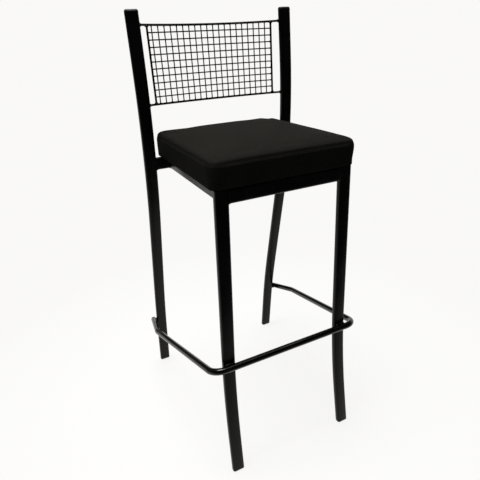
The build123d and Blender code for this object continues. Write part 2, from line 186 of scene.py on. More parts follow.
weld_bead, bead_in, bead_out = open_group(
    "weld_bead", "GeometryNodeTree",
    [("Geometry", "NodeSocketGeometry"), ("Radius", "NodeSocketFloat"), ("Ripple Pitch", "NodeSocketFloat"),
     ("Ripple Height", "NodeSocketFloat"), ("Material", "NodeSocketMaterial")],
    [("Geometry", "NodeSocketGeometry")],
)
line = put(weld_bead, "GeometryNodeMeshToCurve", {"Mesh": bead_in.outputs["Geometry"]})
even = put(weld_bead, "GeometryNodeResampleCurve", {"Curve": line.outputs[0], "Length": 0.0006}, mode="LENGTH")
along = put(weld_bead, "GeometryNodeSplineParameter").outputs["Length"]
turns = put(weld_bead, "ShaderNodeMath", {0: along, 1: bead_in.outputs["Ripple Pitch"]}, operation="DIVIDE")
half_turns = put(weld_bead, "ShaderNodeMath", {0: turns.outputs[0], 1: pi}, operation="MULTIPLY")
wave = put(weld_bead, "ShaderNodeMath", {0: half_turns.outputs[0]}, operation="SINE")
ripple = put(weld_bead, "ShaderNodeMath", {0: wave.outputs[0]}, operation="ABSOLUTE")
swell = put(weld_bead, "ShaderNodeMath", {0: ripple.outputs[0], 1: bead_in.outputs["Ripple Height"], 2: 1.0},
            operation="MULTIPLY_ADD")
section = put(weld_bead, "GeometryNodeCurvePrimitiveCircle", {"Resolution": 8, "Radius": bead_in.outputs["Radius"]})
body = put(weld_bead, "GeometryNodeCurveToMesh", {"Curve": even.outputs[0], "Profile Curve": section.outputs["Curve"],
                                                  "Scale": swell.outputs[0], "Fill Caps": True})
even_shade = put(weld_bead, "GeometryNodeSetShadeSmooth", {"Geometry": body.outputs[0]})
close_group(weld_bead, even_shade.outputs[0], bead_in, bead_out)


def chains(paths):
    """A mesh of edges only, one chain for each path: a list of points and whether it closes on itself."""
    points, edges = [], []
    for path, closed in paths:
        first = len(points)
        points += [tuple(point) for point in path]
        edges += [(first + step, first + step + 1) for step in range(len(path) - 1)]
        if closed:
            edges.append((len(points) - 1, first))
    mesh = bpy.data.meshes.new("chains")
    mesh.from_pydata(points, edges, [])
    return mesh


def node_piece(name, mesh, tree, slot, **values):
    """Runs a geometry node tree on a mesh and keeps the result as a plain piece of the stool."""
    piece = bpy.data.objects.new(name, mesh)
    bpy.context.scene.collection.objects.link(piece)
    modifier = piece.modifiers.new(name, "NODES")
    modifier.node_group = tree
    set_inputs(modifier, **values)
    seen = piece.evaluated_get(bpy.context.evaluated_depsgraph_get())
    result = bpy.data.meshes.new_from_object(seen)
    piece.modifiers.clear()
    piece.data = result
    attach(piece, "root")
    return piece


quarters = ((1, 1), (-1, 1), (-1, -1), (1, -1))


def tube_ring(origin, across, up, width, height, corner=0.005, steps=5):
    """Points round a tube's rounded outline, in the plane of two directions."""
    points = []
    for quarter, (right, top) in enumerate(quarters):
        for step in range(steps + 1):
            turn = radians(90 * (quarter + step / steps))
            x = right * (width / 2 - corner) + corner * cos(turn)
            y = top * (height / 2 - corner) + corner * sin(turn)
            points.append(origin + across * x + up * y)
    return points


tube_depth, tube_width, rail_z = 0.015, 0.030, 0.7085
rail_end_front, rail_end_rear = Vector((0.13116, -0.21636, rail_z)), Vector((0.17892, 0.10793, rail_z))
leg_splay_front, leg_splay_rear = 0.0209, 0.0058
side_rail_x, side_rail_ends = 0.14066, (-0.20886, 0.10043)
wide, deep, plumb = Vector((1, 0, 0)), Vector((0, 1, 0)), Vector((0, 0, 1))
rail_paths = []
for side in (-1, 1):
    for end, splay in ((rail_end_front, leg_splay_front), (rail_end_rear, leg_splay_rear)):
        lean = Vector((-splay * side, 0, 1)).normalized()
        butt = Vector((side * end.x, end.y, end.z))
        rail_paths.append((tube_ring(butt, deep, lean, tube_depth, tube_width), True))
    for end_y in side_rail_ends:
        butt = Vector((side * side_rail_x, end_y, rail_z))
        rail_paths.append((tube_ring(butt, wide, plumb, tube_depth, tube_width), True))
node_piece("seat_frame_welds", chains(rail_paths), weld_bead, "frame",
           radius=0.0012, ripple_pitch=0.0024, ripple_height=0.28, material=frame_coat)


# Foot plugs and post caps: black polythene pushed into the tube ends. Moulded with a fine spark
# texture, the feet scuffed grey where they slide on the floor.

def moulded_black(name, colour, scuffed, roughness, scuff_height):
    """Black moulded plastic: fine grain, faint flow marks and scuffs near the floor."""
    material, tree, surface, place = open_material(name)
    grain = put(tree, "ShaderNodeTexNoise", {"Vector": place, "Scale": 2200.0, "Detail": 2.0}).outputs["Fac"]
    flow = put(tree, "ShaderNodeTexNoise",
               {"Vector": place, "Scale": 90.0, "Detail": 5.0, "Distortion": 1.2}).outputs["Fac"]
    upward = put(tree, "ShaderNodeSeparateXYZ", {"Vector": place}).outputs["Z"]
    low_down = spread(tree, upward, 0.0, scuff_height, 1.0, 0.0)
    marks = spread(tree, flow, 0.42, 0.66)
    scuff = put(tree, "ShaderNodeMath", {0: low_down, 1: marks}, operation="MULTIPLY").outputs[0]
    tree.links.new(mixed(tree, scuff, colour, scuffed), surface.inputs["Base Color"])
    tree.links.new(spread(tree, flow, 0.3, 0.7, roughness - 0.06, roughness + 0.1), surface.inputs["Roughness"])
    relief = put(tree, "ShaderNodeBump", {"Strength": 0.3, "Distance": 0.0002, "Height": grain})
    tree.links.new(relief.outputs["Normal"], surface.inputs["Normal"])
    surface.inputs["Specular IOR Level"].default_value = 0.4
    return material


plug_black = moulded_black("plug_black", [0.005, 0.005, 0.0048, 1.0], [0.026, 0.024, 0.021, 1.0],
                           roughness=0.4, scuff_height=0.007)
dress([f"foot_{end}_{side}" for end in ("front", "back") for side in ("left", "right")], plug_black)
dress(["post_cap_left", "post_cap_right"], plug_black)


# Footrest: a 16 mm round tube bent at four places, welded to the front of the front legs and along the
# outside of the back legs, with rounded plugs in its ends. Shoes keep its coat smooth and streaked.

footrest_coat = powder_coat("footrest_coat", [0.0019, 0.0019, 0.0018, 1.0], [0.0095, 0.009, 0.008, 1.0],
                            roughness=0.11, peel_scale=700.0, rub_scale=45.0, specular=0.5, paling_height=0.2,
                            peel_depth=0.04)
dress(["footrest", "footrest_plug_left", "footrest_plug_right"], footrest_coat)

front_weld, front_step, front_rise = (0.1437, -0.22594, 0.308), 0.0022, 0.0063
rear_weld, rear_step, rear_rise = (0.21348, 0.22299, 0.17643), 0.0016, 0.006
rear_way = (-0.1297, 0.9527, -0.275)
footrest_paths = []
for side in (-1, 1):
    for over in (-1, 1):
        fillet = [Vector((side * (front_weld[0] + front_step * step), front_weld[1], front_weld[2] + over * front_rise))
                  for step in range(11)]
        footrest_paths.append((fillet, False))
    run = Vector((rear_way[0] * side, rear_way[1], rear_way[2])).normalized()
    beside = run.cross(wide).normalized()
    contact = Vector((side * rear_weld[0], rear_weld[1], rear_weld[2]))
    for over in (-1, 1):
        fillet = [contact + beside * (over * rear_rise) + run * (rear_step * step) for step in range(-4, 5)]
        footrest_paths.append((fillet, False))
node_piece("footrest_welds", chains(footrest_paths), weld_bead, "footrest",
           radius=0.0017, ripple_pitch=0.0026, ripple_height=0.25, material=footrest_coat)


# Wire back: two heavy 5 mm wires bowed between the posts, two upright ones, and a resistance-welded
# mesh of 2.8 mm wire at about 15 mm pitch. Each crossing is a small fused spot under the same black coat.

wire_coat = powder_coat("wire_coat", [0.0019, 0.0019, 0.0019, 1.0], [0.0065, 0.0063, 0.006, 1.0],
                        roughness=0.28, peel_scale=1300.0, rub_scale=40.0, specular=0.2, paling_height=0.2)
dress(["backrest_top_wire", "backrest_bottom_wire", "backrest_end_wire_left", "backrest_end_wire_right"], wire_coat)
dress(["mesh_vertical_wires", "mesh_horizontal_wires"], wire_coat, crease=65.0)

wire_low, wire_high = Vector((0.193107, 0.098492, 0.8495)), Vector((0.192128, 0.104155, 1.0195))
panel_bow, panel_sag = 0.015, 0.003


def belly(x):
    """How far a back wire has bellied out at x: none at the posts and 1 in the middle."""
    return 1 - (x / wire_low.x) ** 2


def panel_point(x, z):
    """Point of the bowed back panel."""
    share = (z - wire_low.z) / (wire_high.z - wire_low.z)
    return Vector((x, wire_low.y + (wire_high.y - wire_low.y) * share + panel_bow * belly(x), z))


def ring(centre, axis, radius, steps=20):
    """Points of a circle round an axis."""
    across = axis.orthogonal().normalized()
    up = axis.cross(across).normalized()
    turns = [2 * pi * step / steps for step in range(steps)]
    return [centre + (across * cos(turn) + up * sin(turn)) * radius for turn in turns]


post_low, post_high, post_sag = 0.1776, 0.1766, 0.0005
panel_shift, end_wire_x, end_wire_lean = -0.003, 0.158, 0.033
post_weld, end_weld, end_weld_stand = 0.0025, 0.0023, 0.0026
wire_paths = []
for side in (-1, 1):
    for z, post in ((wire_low.z, post_low), (wire_high.z - post_sag, post_high)):
        slope = Vector((1, -2 * panel_bow * side * post / wire_low.x ** 2, 0)).normalized()
        wire_paths.append((ring(panel_point(side * post, z), slope, post_weld), True))
    x = panel_shift + side * end_wire_x
    for z in (wire_low.z + end_weld_stand, wire_high.z - panel_sag * belly(x) - end_weld_stand):
        wire_paths.append((ring(panel_point(x, z), Vector((0, end_wire_lean, 1)).normalized(), end_weld), True))
node_piece("wire_welds", chains(wire_paths), weld_bead, "wire",
           radius=0.0019, ripple_pitch=0.002, ripple_height=0.2, material=wire_coat)

weld_spots, spot_in, spot_out = open_group(
    "weld_spots", "GeometryNodeTree",
    [("Geometry", "NodeSocketGeometry"), ("Radius", "NodeSocketFloat"), ("Unevenness", "NodeSocketFloat"),
     ("Material", "NodeSocketMaterial")],
    [("Geometry", "NodeSocketGeometry")],
)
drop = put(weld_spots, "GeometryNodeMeshUVSphere", {"Segments": 8, "Rings": 5, "Radius": spot_in.outputs["Radius"]})
least = put(weld_spots, "ShaderNodeMath", {0: 1.0, 1: spot_in.outputs["Unevenness"]}, operation="SUBTRACT")
most = put(weld_spots, "ShaderNodeMath", {0: 1.0, 1: spot_in.outputs["Unevenness"]}, operation="ADD")
size = put(weld_spots, "FunctionNodeRandomValue", {"Min": least.outputs[0], "Max": most.outputs[0], "Seed": 4},
           data_type="FLOAT")
for label, end in (("Min", least), ("Max", most)):
    for socket in size.inputs:
        if socket.name == label and socket.enabled:
            weld_spots.links.new(end.outputs[0], socket)
amount = [socket for socket in size.outputs if socket.enabled][0]
drops = put(weld_spots, "GeometryNodeInstanceOnPoints",
            {"Points": spot_in.outputs["Geometry"], "Instance": drop.outputs["Mesh"], "Scale": amount})
soft = put(weld_spots, "GeometryNodeSetShadeSmooth", {"Geometry": drops.outputs[0]})
close_group(weld_spots, soft.outputs[0], spot_in, spot_out)

mesh_pitch, mesh_middle, lowest_row = 0.0152, -0.0064, 0.8661
columns = [mesh_middle + mesh_pitch * (step - 9.5) for step in range(20)]
rows = [lowest_row + mesh_pitch * step for step in range(10)]
crossings = [panel_point(x, z) for x in columns for z in rows]
node_piece("mesh_crossing_welds", chains([([point], False) for point in crossings]), weld_spots, "wire",
           radius=0.0019, unevenness=0.1, material=wire_coat)
low_tip, high_tip, side_tip, tip_offset = 0.8521, 1.0169, 0.1553, Vector((0, 0.0012, 0))
wire_tips = [panel_point(x, low_tip) - tip_offset for x in columns]
wire_tips += [panel_point(x, high_tip - panel_sag * belly(x)) - tip_offset for x in columns]
wire_tips += [panel_point(panel_shift + side * side_tip, z) + tip_offset for side in (-1, 1) for z in rows]
node_piece("mesh_end_welds", chains([([point], False) for point in wire_tips]), weld_spots, "wire",
           radius=0.002, unevenness=0.16, material=wire_coat)


# Seat board, brackets and fasteners: a plywood board on four steel angles welded inside the side rails,
# held by zinc-plated socket screws, washers and tee nuts. Only the underside shows.

def birch_ply(name):
    """Rotary-cut birch face: long flame grain, fine pores and a few darker streaks."""
    material, tree, surface, place = open_material(name)
    drawn_out = put(tree, "ShaderNodeMapping", {"Vector": place, "Scale": (1.0, 9.0, 9.0)}).outputs["Vector"]
    flame = put(tree, "ShaderNodeTexNoise",
                {"Vector": drawn_out, "Scale": 9.0, "Detail": 7.0, "Distortion": 1.6}).outputs["Fac"]
    pores = put(tree, "ShaderNodeTexNoise", {"Vector": drawn_out, "Scale": 160.0, "Detail": 3.0}).outputs["Fac"]
    pale = mixed(tree, spread(tree, flame, 0.3, 0.7), [0.60, 0.43, 0.26, 1.0], [0.43, 0.28, 0.15, 1.0])
    streaked = mixed(tree, spread(tree, pores, 0.6, 0.8, 0.0, 0.45), pale, [0.22, 0.13, 0.06, 1.0])
    tree.links.new(streaked, surface.inputs["Base Color"])
    tree.links.new(spread(tree, pores, 0.3, 0.7, 0.55, 0.75), surface.inputs["Roughness"])
    relief = put(tree, "ShaderNodeBump", {"Strength": 0.25, "Distance": 0.0003, "Height": pores})
    tree.links.new(relief.outputs["Normal"], surface.inputs["Normal"])
    return material


def zinc_plate(name):
    """Bright zinc: faint crystalline mottle, slightly blue, with handling marks."""
    material, tree, surface, place = open_material(name)
    mottle = put(tree, "ShaderNodeTexVoronoi", {"Vector": place, "Scale": 700.0}).outputs["Distance"]
    marks = put(tree, "ShaderNodeTexNoise", {"Vector": place, "Scale": 380.0, "Detail": 6.0}).outputs["Fac"]
    tree.links.new(mixed(tree, spread(tree, mottle, 0.0, 0.7), [0.66, 0.68, 0.70, 1.0], [0.52, 0.54, 0.57, 1.0]),
                   surface.inputs["Base Color"])
    tree.links.new(spread(tree, marks, 0.35, 0.65, 0.22, 0.42), surface.inputs["Roughness"])
    surface.inputs["Metallic"].default_value = 1.0
    return material


dress(["seat_board"], birch_ply("birch_ply"), crease=30.0)
dress(["seat_bolts", "seat_washers", "seat_tee_nuts"], zinc_plate("zinc_plate"))
dress([f"seat_bracket_{end}_{side}" for end in ("front", "back") for side in ("left", "right")], frame_coat,
      crease=30.0)


# Cushion: a block of foam on the board, pulled into a boxed cover of black leatherette. The top panel is
# sewn to the band with a double seam just below its soft edge, and the band is stapled under the board.

seat_centre = Vector((0.0015, -0.04636))
seat_half = Vector((0.1675, 0.177))
seat_floor, seat_top, seat_pull = 0.7235, 0.7835, 0.0015
board_floor, board_top = 0.7247, 0.7367
plan_bend, tight_bend = 0.018, 0.012
corner_bends = (plan_bend, tight_bend, plan_bend, plan_bend)
corner_softness = (0.7, 0.0, 0.65, 0.3)
corner_run = (1.0, 0.55, 1.0, 1.0)


def seat_outline(inset, corner, side_steps=24, corner_steps=7):
    """Points round the cushion's plan, its sides pulled in between rounded corners."""
    reach = seat_half - Vector((inset, inset))
    points = []
    for quarter, (right, back) in enumerate(quarters):
        drawn_in = inset * corner_run[quarter] if inset > 0 else inset
        half = seat_half - Vector((drawn_in, drawn_in))
        bend = corner_bends[quarter] + (corner - plan_bend) * corner_softness[quarter]
        for step in range(corner_steps + 1):
            turn = radians(90 * (quarter + step / corner_steps))
            x = right * (half.x - bend) + bend * cos(turn)
            y = back * (half.y - bend) + bend * sin(turn)
            points.append(Vector((x, y)))
    filled = []
    for here, after in zip(points, points[1:] + points[:1]):
        steps = side_steps if (after - here).length > 0.05 else 1
        filled += [here.lerp(after, step / steps) for step in range(steps)]
    pulled = []
    for point in filled:
        x = point.x * (1 - seat_pull / reach.x * (1 - (point.y / reach.y) ** 2))
        y = point.y * (1 - seat_pull / reach.y * (1 - (point.x / reach.x) ** 2))
        pulled.append(seat_centre + Vector((x, y)))
    return pulled


def stacked(name, levels):
    """A closed form lofted through outlines: a list of (height, inset, corner)."""
    form = bmesh.new()
    rings = []
    for z, inset, corner in levels:
        rings.append([form.verts.new((point.x, point.y, z)) for point in seat_outline(inset, corner)])
    for low, high in zip(rings, rings[1:]):
        for step in range(len(low)):
            after = (step + 1) % len(low)
            form.faces.new((low[step], low[after], high[after], high[step]))
    form.faces.new(list(reversed(rings[0])))
    form.faces.new(rings[-1])
    mesh = bpy.data.meshes.new(name)
    form.to_mesh(mesh)
    form.free()
    block = bpy.data.objects.new(name, mesh)
    bpy.context.scene.collection.objects.link(block)
    return block


def settle(block):
    """Applies a block's modifiers to a mesh of its own."""
    seen = block.evaluated_get(bpy.context.evaluated_depsgraph_get())
    result = bpy.data.meshes.new_from_object(seen)
    block.modifiers.clear()
    block.data = result


edge_drop, edge_run, edge_steps, band_swell = 0.0115, 0.0155, 6, 0.0014
edge_bend, edge_bend_gain = 0.03, 0.022
levels = [(seat_floor, -0.0011, plan_bend), (seat_floor + 0.016, -0.0013, 0.02),
          (seat_floor + 0.033, -band_swell, 0.026)]
for step in range(edge_steps + 1):
    turn = radians(90 * step / edge_steps)
    over = 1 - cos(turn)
    levels.append((seat_top - edge_drop * (1 - sin(turn)), edge_run * over - band_swell,
                   edge_bend + edge_bend_gain * over))
cushion = stacked("seat_cushion", levels)
remesh = cushion.modifiers.new("even_cloth", "REMESH")
remesh.mode = "VOXEL"
remesh.voxel_size = 0.0044
settle(cushion)


def plan_depth(place):
    """How far a point lies inside the cushion's plan, and the level way out from there."""
    point = place.xy - seat_centre
    half_x = seat_half.x - seat_pull * (1 - (point.y / seat_half.y) ** 2)
    half_y = seat_half.y - seat_pull * (1 - (point.x / seat_half.x) ** 2)
    bend = tight_bend if point.x < 0 < point.y else plan_bend
    past = Vector((abs(point.x) - half_x + bend, abs(point.y) - half_y + bend))
    if past.x > 0 and past.y > 0:
        out, depth = past.normalized(), bend - past.length
    else:
        out, depth = Vector((past.x > past.y, past.x <= past.y)), bend - max(past)
    return depth, Vector((out.x if point.x > 0 else -out.x, out.y if point.y > 0 else -out.y, 0))


def share(value):
    """A value kept between 0 and 1."""
    return min(1.0, max(0.0, value))


seat_crown, crown_power, crown_below, crown_blend = 0.009, 3.2, 0.014, 0.012
corner_full, full_above, full_blend = 0.0054, 0.016, 0.025
for vertex in cushion.data.vertices:
    across = share(abs(vertex.co.x - seat_centre.x) / seat_half.x) ** crown_power
    along = share(abs(vertex.co.y - seat_centre.y) / seat_half.y) ** crown_power
    risen = share((vertex.co.z - seat_top + crown_below) / crown_blend)
    vertex.co.z += seat_crown * risen * (1 - across) * (1 - along)
    rightward = share((vertex.co.x - seat_centre.x) / seat_half.x)
    forward = share((seat_centre.y - vertex.co.y) / seat_half.y)
    upper = share((vertex.co.z - seat_floor - full_above) / full_blend)
    vertex.co.x += corner_full * upper * rightward ** 2 * forward
held_below, held_blend = 0.012, 0.02
held = cushion.vertex_groups.new(name="held")
start = [vertex.co.copy() for vertex in cushion.data.vertices]
for vertex in cushion.data.vertices:
    held.add([vertex.index], share((seat_top - held_below - vertex.co.z) / held_blend), "REPLACE")
cloth = cushion.modifiers.new("foam_pressure", "CLOTH")
cloth.settings.quality = 6
cloth.settings.mass = 0.2
cloth.settings.tension_stiffness = 18
cloth.settings.compression_stiffness = 18
cloth.settings.shear_stiffness = 8
cloth.settings.bending_stiffness = 1.0
cloth.settings.vertex_group_mass = "held"
cloth.settings.use_pressure = True
cloth.settings.uniform_pressure_force = 4.0
cloth.settings.effector_weights.gravity = 0.0
for moment in range(1, 21):
    bpy.context.scene.frame_set(moment)
settle(cushion)
bpy.context.scene.frame_set(1)
most_swell, flat_zone = 0.0018, 0.0012
for vertex, before in zip(cushion.data.vertices, start):
    move = vertex.co - before
    if move.length > most_swell:
        vertex.co = before + move * (most_swell / move.length)
    if before.z < seat_floor + flat_zone:
        vertex.co.z = seat_floor
cushion.vertex_groups.clear()
finer = cushion.modifiers.new("finer", "SUBSURF")
finer.levels = finer.render_levels = 1
settle(cushion)

rim_height, cover_proud, hug_height, hug_blend = seat_floor + 0.01, 0.0011, 0.02, 0.008
normals = [vertex.normal.copy() for vertex in cushion.data.vertices]
for vertex, normal in zip(cushion.data.vertices, normals):
    above = vertex.co.z - seat_floor
    if above < hug_height and abs(normal.z) < 0.9:
        depth, out = plan_depth(vertex.co)
        vertex.co += out * ((depth + cover_proud) * share((hug_height - above) / hug_blend))

seam_height, seam_depth, seam_width, seam_zone = seat_top - 0.0105, 0.0006, 0.0024, 0.012
for vertex, normal in zip(cushion.data.vertices, normals):
    offset = (vertex.co.z - seam_height) / seam_width
    if abs(offset) < 3 and plan_depth(vertex.co)[0] < seam_zone:
        vertex.co -= normal * seam_depth * exp(-offset * offset)

skin = bmesh.new()
skin.from_mesh(cushion.data)
bmesh.ops.bisect_plane(skin, geom=skin.verts[:] + skin.edges[:] + skin.faces[:],
                       plane_co=(0, 0, rim_height), plane_no=(0, 0, 1), clear_inner=True)
hem = [edge for edge in skin.edges if edge.is_boundary]
outline = {end: end.co.copy() for edge in hem for end in edge.verts}
band_round, band_foot, under_inset = 0.0035, 0.006, 0.009
lip_inset, recess_inset, follow_plan = 0.025, 0.0021, 0.015
turned_under = [(seat_floor + band_foot, 0.0)]
for step in range(5):
    turn = radians(90 * step / 4)
    turned_under.append((seat_floor + band_round * (1 - sin(turn)), band_round * (1 - cos(turn))))
turned_under += [(seat_floor, under_inset), (seat_floor, lip_inset), (board_floor, lip_inset)]
turned_under += [(board_floor, recess_inset), (board_top, recess_inset)]
for z, inset in turned_under:
    made = bmesh.ops.extrude_edge_only(skin, edges=hem)["geom"]
    fresh = [part for part in made if isinstance(part, bmesh.types.BMVert)]
    above = {end: [edge.other_vert(end) for edge in end.link_edges if edge.other_vert(end) in outline][0]
             for end in fresh}
    for end in fresh:
        outer = outline[above[end]]
        outline[end] = outer
        if inset < follow_plan:
            end.co = outer - plan_depth(outer)[1] * inset
        else:
            end.co.x = seat_centre.x + (outer.x - seat_centre.x) * (1 - inset / seat_half.x)
            end.co.y = seat_centre.y + (outer.y - seat_centre.y) * (1 - inset / seat_half.y)
        end.co.z = z
    hem = [part for part in made if isinstance(part, bmesh.types.BMEdge) and part.is_boundary]
bmesh.ops.edgeloop_fill(skin, edges=hem)
bmesh.ops.recalc_face_normals(skin, faces=skin.faces[:])
for face in skin.faces:
    face.smooth = True
for edge in skin.edges:
    edge.smooth = edge.calc_face_angle(0.0) < radians(50)
skin.to_mesh(cushion.data)
skin.free()


def leatherette(name, colour, paler):
    """Matte black leatherette: pebbled grain with painted light on its tops and painted shade in its valleys, fine
    pores, slow changes of tone, and painted shade darkening the sides that don't face up.
    """
    material, tree, surface, place = open_material(name)
    stirred = put(tree, "ShaderNodeTexNoise", {"Vector": place, "Scale": 260.0, "Detail": 2.0}).outputs["Color"]
    bent = put(tree, "ShaderNodeVectorMath", {0: stirred, 1: (0.0012, 0.0012, 0.0012), 2: place},
               operation="MULTIPLY_ADD").outputs[0]
    pebbles = put(tree, "ShaderNodeTexVoronoi", {"Vector": bent, "Scale": 620.0},
                  feature="SMOOTH_F1").outputs["Distance"]
    pores = put(tree, "ShaderNodeTexNoise", {"Vector": place, "Scale": 1900.0, "Detail": 2.0}).outputs["Fac"]
    tone = put(tree, "ShaderNodeTexNoise",
               {"Vector": place, "Scale": 16.0, "Detail": 5.0, "Roughness": 0.6}).outputs["Fac"]
    relief_height = put(tree, "ShaderNodeMath", {0: pores, 1: 0.25, 2: pebbles}, operation="MULTIPLY_ADD").outputs[0]
    # Paler pebble tops and darker valleys between them: painted light and shade on the grain's relief.
    pebble_light_and_shade = mixed(tree, spread(tree, pebbles, 0.15, 0.6), paler, colour)
    facing = put(tree, "ShaderNodeNewGeometry").outputs["Normal"]
    upward = put(tree, "ShaderNodeSeparateXYZ", {"Vector": facing}).outputs["Z"]
    worn = mixed(tree, spread(tree, tone, 0.35, 0.7, 0.0, 0.6), pebble_light_and_shade, paler)
    # Painted shade: faces that don't point up are mixed up to halfway towards black, the top is left as it is.
    tree.links.new(mixed(tree, spread(tree, upward, 0.15, 0.85, 0.5, 0.0), worn, [0.0, 0.0, 0.0, 1.0]),
                   surface.inputs["Base Color"])
    tree.links.new(spread(tree, tone, 0.3, 0.7, 0.66, 0.76), surface.inputs["Roughness"])
    relief = put(tree, "ShaderNodeBump", {"Strength": 0.35, "Distance": 0.0004, "Height": relief_height}, invert=True)
    tree.links.new(relief.outputs["Normal"], surface.inputs["Normal"])
    surface.inputs["Specular IOR Level"].default_value = 0.01
    return material


cover_black = leatherette("cover_black", [0.0112, 0.0109, 0.0095, 1.0], [0.0185, 0.0178, 0.0154, 1.0])
cushion.data.materials.clear()
cushion.data.materials.append(cover_black)
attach(cushion, "root")
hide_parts("seat_cover", "seat_foam")


# Stitching and staples: two rows of thread either side of the top seam, and steel staples that hold the
# turned-under edge of the cover to the board.

def thread_black(name):
    """Bonded black thread: twisted strands with a slight sheen."""
    material, tree, surface, place = open_material(name)
    strands = put(tree, "ShaderNodeTexWave", {"Vector": place, "Scale": 900.0, "Distortion": 2.0}).outputs["Fac"]
    tree.links.new(mixed(tree, strands, [0.007, 0.0068, 0.006, 1.0], [0.015, 0.0145, 0.013, 1.0]),
                   surface.inputs["Base Color"])
    tree.links.new(spread(tree, strands, 0.0, 1.0, 0.5, 0.65), surface.inputs["Roughness"])
    surface.inputs["Specular IOR Level"].default_value = 0.12
    return material


stitch_row, stitch_in, stitch_out = open_group(
    "stitch_row", "GeometryNodeTree",
    [("Geometry", "NodeSocketGeometry"), ("Pitch", "NodeSocketFloat"), ("Size", "NodeSocketVector"),
     ("Material", "NodeSocketMaterial")],
    [("Geometry", "NodeSocketGeometry")],
)
sewn = put(stitch_row, "GeometryNodeMeshToCurve", {"Mesh": stitch_in.outputs["Geometry"]})
paced = put(stitch_row, "GeometryNodeResampleCurve",
            {"Curve": sewn.outputs[0], "Length": stitch_in.outputs["Pitch"]}, mode="LENGTH")
bean = put(stitch_row, "GeometryNodeMeshUVSphere", {"Segments": 8, "Rings": 5, "Radius": 1.0})
heading = put(stitch_row, "GeometryNodeInputTangent").outputs[0]
turned = put(stitch_row, "FunctionNodeAlignRotationToVector", {"Vector": heading}, axis="X")
beans = put(stitch_row, "GeometryNodeInstanceOnPoints",
            {"Points": paced.outputs[0], "Instance": bean.outputs["Mesh"], "Rotation": turned.outputs[0],
             "Scale": stitch_in.outputs["Size"]})
softened = put(stitch_row, "GeometryNodeSetShadeSmooth", {"Geometry": beans.outputs[0]})
close_group(stitch_row, softened.outputs[0], stitch_in, stitch_out)

skin_tree = BVHTree.FromPolygons([vertex.co for vertex in cushion.data.vertices],
                                 [polygon.vertices for polygon in cushion.data.polygons])
core_x, core_y, row_apart = 0.1395, 0.149, 0.0042


def on_cushion(z):
    """Points round the cushion's side at a height, found on its finished surface."""
    found = []
    for point in seat_outline(-0.02, 0.03, side_steps=60, corner_steps=16):
        away = point - seat_centre
        inner = seat_centre + Vector((max(-core_x, min(core_x, away.x)), max(-core_y, min(core_y, away.y))))
        aim = Vector((inner.x - point.x, inner.y - point.y, 0)).normalized()
        spot = skin_tree.ray_cast(Vector((point.x, point.y, z)), aim)[0]
        if spot:
            found.append(spot)
    return found


thread = thread_black("thread_black")
for name, z in (("upper_stitches", seam_height + row_apart), ("lower_stitches", seam_height - row_apart)):
    node_piece(name, chains([(on_cushion(z), True)]), stitch_row, "cover",
               pitch=0.0042, size=(0.0016, 0.00035, 0.00035), material=thread)

staple_inset, staple_bend = 0.0165, 0.012
staple_line = seat_outline(staple_inset, staple_bend, side_steps=3, corner_steps=1)
staples_path = [Vector((point.x, point.y, seat_floor - 0.0003)) for point in staple_line]
staple_row, row_in, row_out = open_group(
    "staple_row", "GeometryNodeTree",
    [("Geometry", "NodeSocketGeometry"), ("Pitch", "NodeSocketFloat"), ("Width", "NodeSocketFloat"),
     ("Material", "NodeSocketMaterial")],
    [("Geometry", "NodeSocketGeometry")],
)
lip = put(staple_row, "GeometryNodeMeshToCurve", {"Mesh": row_in.outputs["Geometry"]})
spaced = put(staple_row, "GeometryNodeResampleCurve",
             {"Curve": lip.outputs[0], "Length": row_in.outputs["Pitch"]}, mode="LENGTH")
half_width = put(staple_row, "ShaderNodeMath", {0: row_in.outputs["Width"], 1: 0.5}, operation="MULTIPLY").outputs[0]
other_half = put(staple_row, "ShaderNodeMath", {0: row_in.outputs["Width"], 1: -0.5}, operation="MULTIPLY").outputs[0]
leg_left = put(staple_row, "ShaderNodeCombineXYZ", {"X": other_half, "Z": 0.0011})
leg_right = put(staple_row, "ShaderNodeCombineXYZ", {"X": half_width, "Z": 0.0011})
crown = put(staple_row, "GeometryNodeCurveQuadraticBezier",
            {"Resolution": 7, "Start": leg_left.outputs[0], "Middle": (0.0, 0.0, -0.0012),
             "End": leg_right.outputs[0]})
gauge = put(staple_row, "GeometryNodeCurvePrimitiveCircle", {"Resolution": 6, "Radius": 0.0004})
staple = put(staple_row, "GeometryNodeCurveToMesh",
             {"Curve": crown.outputs[0], "Profile Curve": gauge.outputs["Curve"], "Fill Caps": True})
lip_way = put(staple_row, "GeometryNodeInputTangent").outputs[0]
lined_up = put(staple_row, "FunctionNodeAlignRotationToVector", {"Vector": lip_way}, axis="X")
shot = put(staple_row, "GeometryNodeInstanceOnPoints",
           {"Points": spaced.outputs[0], "Instance": staple.outputs[0], "Rotation": lined_up.outputs[0]})
close_group(staple_row, shot.outputs[0], row_in, row_out)
node_piece("cover_staples", chains([(staples_path, True)]), staple_row, "fastener",
           pitch=0.03, width=0.011, material=bpy.data.materials["zinc_plate"])


# Studio: a pale seamless floor that runs into a white surround, two soft lights overhead, and the camera
# where the photograph was taken from. None of it belongs to the stool.

